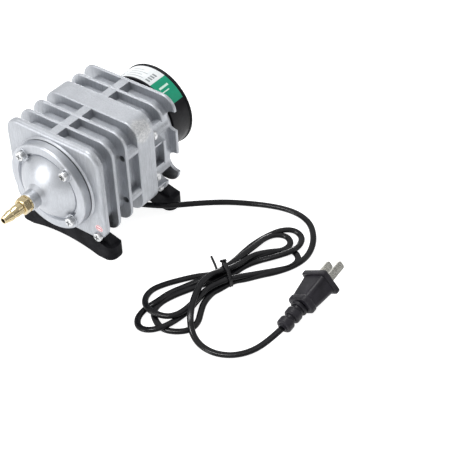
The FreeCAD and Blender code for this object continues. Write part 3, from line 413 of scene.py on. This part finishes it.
def swept(line, section, up_at=None, first=0):
    """Vertices and faces of a section [(across, up)] along a line, with capped ends.

    up_at(tangent, index) gives the section's up direction, which is straight up by default; first
    is the number of the first vertex.
    """
    verts, faces, n = [], [], len(section)
    for i, p in enumerate(line):
        t = (line[min(i + 1, len(line) - 1)] - line[max(i - 1, 0)]).normalized()
        up = up_at(t, i) if up_at else UP
        side = t.cross(up).normalized()
        lift = side.cross(t)
        verts += [p + side * a + lift * b for a, b in section]
    for i in range(len(line) - 1):
        for j in range(n):
            k = (j + 1) % n
            faces.append((i * n + j, i * n + k, (i + 1) * n + k, (i + 1) * n + j))
    last = (len(line) - 1) * n
    faces.append(tuple(reversed(range(n))))
    faces.append(tuple(range(last, last + n)))
    return verts, [tuple(first + v for v in face) for face in faces]


def round_section(radius, steps=8):
    turns = [2 * math.pi * i / steps for i in range(steps)]
    return [(radius * math.cos(a), radius * math.sin(a)) for a in turns]


def flat_cord_section(width, height, steps=9, reach=100):
    """Outline of a two-core flat cord: two round cores with a shallow groove on both faces.

    reach is how far round its core an arc goes each way, in degrees.
    """
    r = height / 2
    offset = width / 2 - r
    points = []
    for side in (1, -1):
        for i in range(steps):
            a = math.radians(reach * (2 * i / (steps - 1) - 1))
            x, y = offset + r * math.cos(a), r * math.sin(a)
            points.append((side * x, side * y))
    return points


# ---- Mains cord: one flat cord from the gland, through the tied hank, to the plug --------------
CORD_WIDTH, CORD_HEIGHT = 4.9, 2.9
CORD_LEAN = math.radians(-17)      # how far it leans over in the middle of the leaning stretch
CORD_LEANING_SHARE = 0.6           # length of that stretch, as a share of the first run
# The route's control points: from the gland to the hank, the hank, and from the hank to the plug.
RUN = [
    (20.02, 18.9, 10.58), (27.8, 23.9, 10.3), (36.0, 28.3, 10.0), (44.7, 34.3, 9.3),
    (51.9, 42.5, 8.1), (58.6, 50.9, 6.7), (65.3, 58.9, 5.3), (72.4, 67.0, 3.8), (80.6, 74.6, 2.4),
    (91.5, 81.7, 1.5), (104.5, 87.9, 1.5), (118.5, 92.4, 1.5), (132.0, 93.0, 1.5),
    (144.5, 88.4, 1.5), (154.5, 78.0, 1.5), (160.8, 66.5, 1.5), (163.6, 54.5, 1.5)]
HANK = [
    # under the right loops and through the tie, lowest strand
    (161.5, 42.0, 1.5), (154.9, 29.1, 1.5), (146.3, 18.4, 1.5), (140.3, 9.2, 1.5), (134.3, 3.1, 1.5),
    (131.5, -9.2, 1.5),
    # first left loop, the lowest in front
    (129.1, -15.9, 1.5), (130.3, -27.2, 1.5), (134.5, -36.2, 1.5), (139.5, -45.6, 1.5),
    (139.5, -55.0, 1.5), (132.8, -61.8, 1.5), (124.0, -65.5, 1.5), (114.5, -62.4, 1.5),
    (106.2, -55.3, 1.5), (104.7, -46.1, 1.5), (107.2, -36.1, 1.5), (112.5, -24.1, 1.5),
    (122.7, -4.5, 1.5),
    # first right loop, the nearest to the plug
    (126.6, 19.2, 1.5), (131.5, 32.5, 1.5), (137.8, 43.0, 1.5), (143.6, 51.8, 1.5),
    (152.6, 55.6, 1.5), (160.9, 49.6, 1.5), (160.4, 39.4, 1.5), (153.6, 31.0, 1.5),
    (147.2, 23.6, 1.5),
    (141.3, 14.6, 2.8), (136.6, 6.8, 4.4), (132.0, 0.4, 4.5), (128.6, -7.5, 4.5),
    # second left loop, the uppermost
    (125.7, -16.6, 4.6), (125.8, -28.0, 4.6), (126.2, -39.0, 4.6), (125.2, -48.5, 4.6),
    (120.3, -56.1, 4.6), (110.7, -58.5, 4.6), (101.2, -57.1, 4.6), (93.3, -49.0, 2.6),
    (90.8, -38.3, 1.5), (95.0, -28.4, 1.5), (102.1, -17.4, 1.5), (110.3, -6.4, 1.5),
    (118.7, 0.8, 1.5),
    # second right loop, the largest
    (122.0, 20.5, 1.5), (121.6, 37.8, 1.5), (123.0, 49.0, 1.5), (126.4, 59.4, 2.2),
    (131.6, 68.6, 3.4), (139.4, 74.6, 2.6), (148.2, 72.0, 1.7), (152.6, 62.4, 2.6),
    (152.4, 51.4, 4.2), (145.4, 40.4, 3.6), (135.4, 29.7, 1.5), (131.0, 19.4, 1.5),
    (129.7, 8.9, 1.5), (126.6, -5.0, 1.5),
    # third left loop, the furthest out
    (124.2, -15.8, 1.5), (124.9, -27.8, 1.5), (126.7, -40.4, 1.5), (125.4, -53.4, 1.9),
    (123.8, -65.0, 3.9), (117.4, -73.4, 3.6), (108.2, -74.2, 1.9), (101.4, -67.6, 1.5),
    (99.6, -57.4, 1.5), (103.4, -47.8, 3.6), (103.6, -33.3, 1.5), (109.2, -21.1, 1.5),
    (120.9, -0.9, 4.5),
    # third right loop, the smallest
    (124.2, 18.9, 4.5), (125.7, 31.8, 4.6), (126.4, 42.5, 4.2), (126.4, 53.3, 3.2),
    (130.2, 63.0, 2.0), (138.6, 66.4, 1.5), (146.0, 60.6, 1.5), (144.8, 51.2, 1.5),
    (137.0, 44.4, 1.7), (130.4, 33.1, 3.2), (128.4, 15.5, 4.5), (124.3, 4.3, 6.0),
    # over the left loops and out to the plug
    (120.9, -4.1, 7.7), (120.0, -15.5, 7.7), (123.9, -28.2, 7.7), (129.5, -40.0, 7.7)]
TAIL = [
    (134.9, -48.9, 6.0), (141.5, -55.9, 2.6), (150.0, -61.0, 1.5), (159.4, -63.4, 1.5),
    (169.6, -62.4, 1.5), (179.6, -57.0, 1.7), (187.8, -47.4, 2.6), (192.4, -34.0, 4.4),
    (194.3, -20.5, 6.6)]


def add_cord(tie):
    """The cord as one swept tube, in place of its three CAD solids."""
    route = [Vector(p) * MM for p in RUN + HANK + TAIL]
    line = spline_points("mains_cord", route)
    section = flat_cord_section(CORD_WIDTH * MM, CORD_HEIGHT * MM)
    leaning_count = len(line) * len(RUN) / len(route) * CORD_LEANING_SHARE

    def leaning_up(t, i):
        """Up direction of the flat cord, which leans over on its first stretch."""
        share = max(0.0, math.sin(math.pi * min(1.0, i / leaning_count)))
        return UP + UP.cross(t) * math.tan(CORD_LEAN) * share

    verts, faces = swept(line, section, leaning_up)
    cord = add_mesh("mains_cord", verts, faces, MATERIALS["cord"])
    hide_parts("cord_run", "cord_hank", "cord_tail")


# ---- Twist tie round the hank's waist ----------------------------------------------------------
TIE_MIDDLE = Vector((126.75, 5.67, 0))
TIE_ACROSS, TIE_ALONG = Vector((0.785, -0.619, 0)), Vector((0.619, 0.785, 0))
TIE_STEPS = 6                      # points per control point of its lines
TIE_STRIP = [(-1.3, -0.3), (0.3, -0.3), (0.5, -0.5), (0.9, -0.65), (1.3, -0.5), (1.5, -0.1),
             (1.5, 0.2), (1.3, 0.6), (0.9, 0.75), (0.5, 0.6), (0.3, 0.3), (-1.3, 0.3)]
# The strip's arch over the hank, as (across, height).
TIE_ARCH = [(-10.4, 0.5), (-10.6, 3.5), (-9.8, 6.8), (-7.0, 8.5), (-3.0, 8.9), (2.0, 8.9), (7.0, 8.6),
            (10.6, 7.0), (11.7, 3.6), (11.5, 0.5)]
# Two strands twist round each other, beside the arch's top.
TWIST_ACROSS, TWIST_FROM, TWIST_LENGTH, TWIST_HEIGHT = -8.6, -3.0, 4.6, 8.5
TWIST_RADIUS, TWIST_STRAND, TWIST_TURNS, TWIST_STEPS = 0.6, 0.55, 1.6, 24
LOOSE_END = [(118.5, 4.5, 0.9), (113.5, 9.0, 1.2), (109.0, 12.0, 1.6), (105.0, 14.8, 2.0)]
LOOSE_RADIUS = 0.95


def tie_point(across, along, z):
    return (TIE_MIDDLE + TIE_ACROSS * across + TIE_ALONG * along + Vector((0, 0, z))) * MM


def twist_strand(phase):
    """Centre line of one strand of the twisted ends."""
    strand = []
    for i in range(TWIST_STEPS + 1):
        k = i / TWIST_STEPS
        angle = phase + TWIST_TURNS * 2 * math.pi * k
        strand.append(tie_point(TWIST_ACROSS + TWIST_RADIUS * math.cos(angle),
                                TWIST_FROM + TWIST_LENGTH * k,
                                TWIST_HEIGHT + TWIST_RADIUS * math.sin(angle)))
    return strand


def add_tie():
    """Strip over the hank with its wire's rib, twisted ends on top, and a loose end on the floor."""
    arch = spline_points("tie", [tie_point(a, 0, z) for a, z in TIE_ARCH], TIE_STEPS)
    strip = [(a * MM, b * MM) for a, b in TIE_STRIP]
    verts, faces = swept(arch, strip, lambda t, i: t.cross(TIE_ALONG))
    loose = spline_points("tie_wire", [Vector(p) * MM for p in LOOSE_END], TIE_STEPS)
    wires = [(twist_strand(0), TWIST_STRAND), (twist_strand(math.pi), TWIST_STRAND),
             (loose, LOOSE_RADIUS)]
    for line, radius in wires:
        more, quads = swept(line, round_section(radius * MM), first=len(verts))
        verts += more
        faces += quads
    tie = add_mesh("twist_tie", verts, faces, MATERIALS["tie"])
    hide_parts("cord_tie")
    return tie


add_cord(add_tie())


# ---- Paper joint between the castings, trimmed flush -------------------------------------------
JOINT_PROUD = 1.1                  # how much wider than the CAD gasket it is
JOINT_OUTER_R = 12.1
JOINT_INNER_W, JOINT_INNER_H, JOINT_INNER_R = 68.2, 57.2, 9.0


def rounded_ring(w, h, r, y, steps=8):
    """Points of a rounded rectangle about the pump's axis, in the plane y."""
    points = []
    for sx, sz, start in ((1, 1, 0), (-1, 1, 90), (-1, -1, 180), (1, -1, 270)):
        for i in range(steps + 1):
            a = math.radians(start + 90 * i / steps)
            x = sx * (w / 2 - r) + r * math.cos(a)
            z = PUMP_Z + sz * (h / 2 - r) + r * math.sin(a)
            points.append(Vector((x, y, z)) * MM)
    return points


def add_joint():
    """Flat frame of joint paper, in place of the CAD gasket."""
    low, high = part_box("housing_gasket")
    y0, y1 = low[1] / MM, high[1] / MM
    outer = ((high[0] - low[0]) / MM + JOINT_PROUD, (high[2] - low[2]) / MM + JOINT_PROUD,
             JOINT_OUTER_R)
    inner = (JOINT_INNER_W, JOINT_INNER_H, JOINT_INNER_R)
    loops = [rounded_ring(*outer, y0), rounded_ring(*outer, y1), rounded_ring(*inner, y1),
             rounded_ring(*inner, y0)]
    n = len(loops[0])
    verts = [p for loop in loops for p in loop]
    faces = []
    for a in range(len(loops)):
        b = (a + 1) % len(loops)
        for i in range(n):
            j = (i + 1) % n
            faces.append((a * n + i, b * n + i, b * n + j, a * n + j))
    joint = add_mesh("joint_paper", verts, faces, MATERIALS["joint"], smooth=False)
    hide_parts("housing_gasket")


add_joint()


# ---- Floor, light and world --------------------------------------------------------------------
FLOOR_HALF, FLOOR_GLOW = 6.0, 0.86
WORLD_BRIGHT_SIDE = (-0.55, -0.25, 0.80)
WORLD_DIM, WORLD_BRIGHT = 0.20, 0.97


def add_floor():
    """White floor with a glow of its own, so that only faint contact shadows show."""
    m = Mat("studio_floor", (0.5, 0.5, 0.5), 0.8, Specular_IOR_Level=0.1)
    m.color(m.mix(m.grey(m.noise(3, 2), 0, 1), (0.49, 0.49, 0.49), (0.51, 0.51, 0.51)))
    m.set("Emission Color", (1, 1, 1, 1))
    m.set("Emission Strength", FLOOR_GLOW)
    mesh = bpy.data.meshes.new("studio_floor")
    s = FLOOR_HALF
    mesh.from_pydata([(-s, -s, 0), (s, -s, 0), (s, s, 0), (-s, s, 0)], [], [(0, 1, 2, 3)])
    mesh.materials.append(m.mat)
    floor = bpy.data.objects.new("studio_floor", mesh)
    scene.collection.objects.link(floor)


def add_light(name, place, target, size, power):
    """Round soft light; place, target and size are in metres, power in watts."""
    data = bpy.data.lights.new(name, "AREA")
    data.shape = "DISK"
    data.size, data.energy = size, power
    lamp = bpy.data.objects.new(name, data)
    scene.collection.objects.link(lamp)
    lamp.location = place
    lamp.rotation_euler = (Vector(target) - Vector(place)).to_track_quat("-Z", "Y").to_euler()


def add_world():
    """White room, dimmer away from its bright side, so that the metal has something to reflect."""
    world = bpy.data.worlds.new("studio")
    world.use_nodes = True
    tree = world.node_tree
    background = tree.nodes["Background"]
    background.inputs["Color"].default_value = (1, 1, 1, 1)
    coord = tree.nodes.new("ShaderNodeTexCoord")
    dot = tree.nodes.new("ShaderNodeVectorMath")
    dot.operation = "DOT_PRODUCT"
    dot.inputs[1].default_value = WORLD_BRIGHT_SIDE
    tree.links.new(coord.outputs["Generated"], dot.inputs[0])
    span = tree.nodes.new("ShaderNodeMapRange")
    for key, value in (("From Min", -0.6), ("From Max", 0.8),
                       ("To Min", WORLD_DIM), ("To Max", WORLD_BRIGHT)):
        span.inputs[key].default_value = value
    tree.links.new(dot.outputs["Value"], span.inputs["Value"])
    tree.links.new(span.outputs["Result"], background.inputs["Strength"])
    scene.world = world


add_floor()
add_world()
add_light("key", (-0.55, -1.35, 0.55), (0.02, 0, 0.05), 0.75, 10.5)
add_light("top", (-0.45, 0.15, 1.7), (0.05, 0, 0.03), 0.45, 14)
add_light("back", (-0.86, 1.2, 0.3), (0.08, 0.03, 0.01), 0.3, 4)
add_light("rim", (1.0, 0.9, 0.75), (0.03, 0, 0.05), 0.6, 2.0)
scene.view_settings.view_transform = "Standard"
